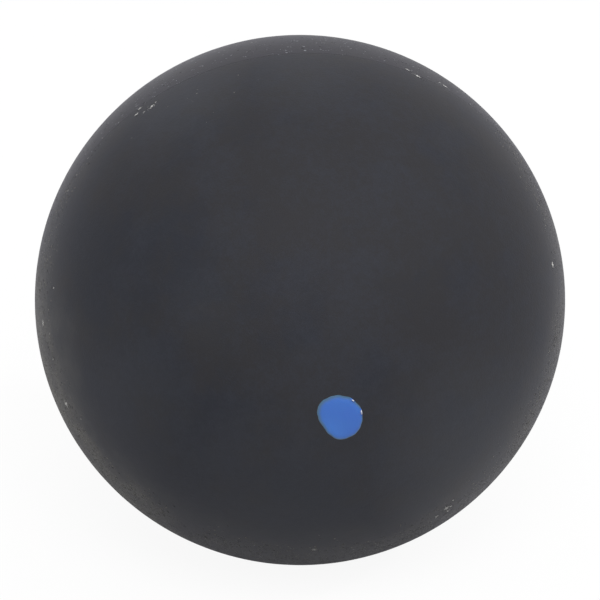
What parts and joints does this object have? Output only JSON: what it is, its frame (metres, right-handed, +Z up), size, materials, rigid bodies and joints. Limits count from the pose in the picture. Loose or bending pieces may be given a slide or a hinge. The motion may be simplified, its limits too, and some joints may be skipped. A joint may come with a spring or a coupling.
{
  "type": "squash ball",
  "caption": "Hollow matte black rubber squash ball, moulded as half shells bonded at a seam, with a blue dot that marks its speed.",
  "frame": {"origin": "centre of the ball", "axes": "+Z up; the seam stands upright in the XZ plane, and the half with the dot faces the front, -Y"},
  "size_m": [0.04, 0.0401, 0.04],
  "materials": {
    "shell_rubber": "matte",
    "seam_cement": "satin",
    "dot_paint": "gloss"
  },
  "bodies": {
    "root": {"front_half_shell": "shell_rubber", "rear_half_shell": "shell_rubber", "seam_bond": "seam_cement", "speed_dot": "dot_paint"}
  },
  "joints": []
}
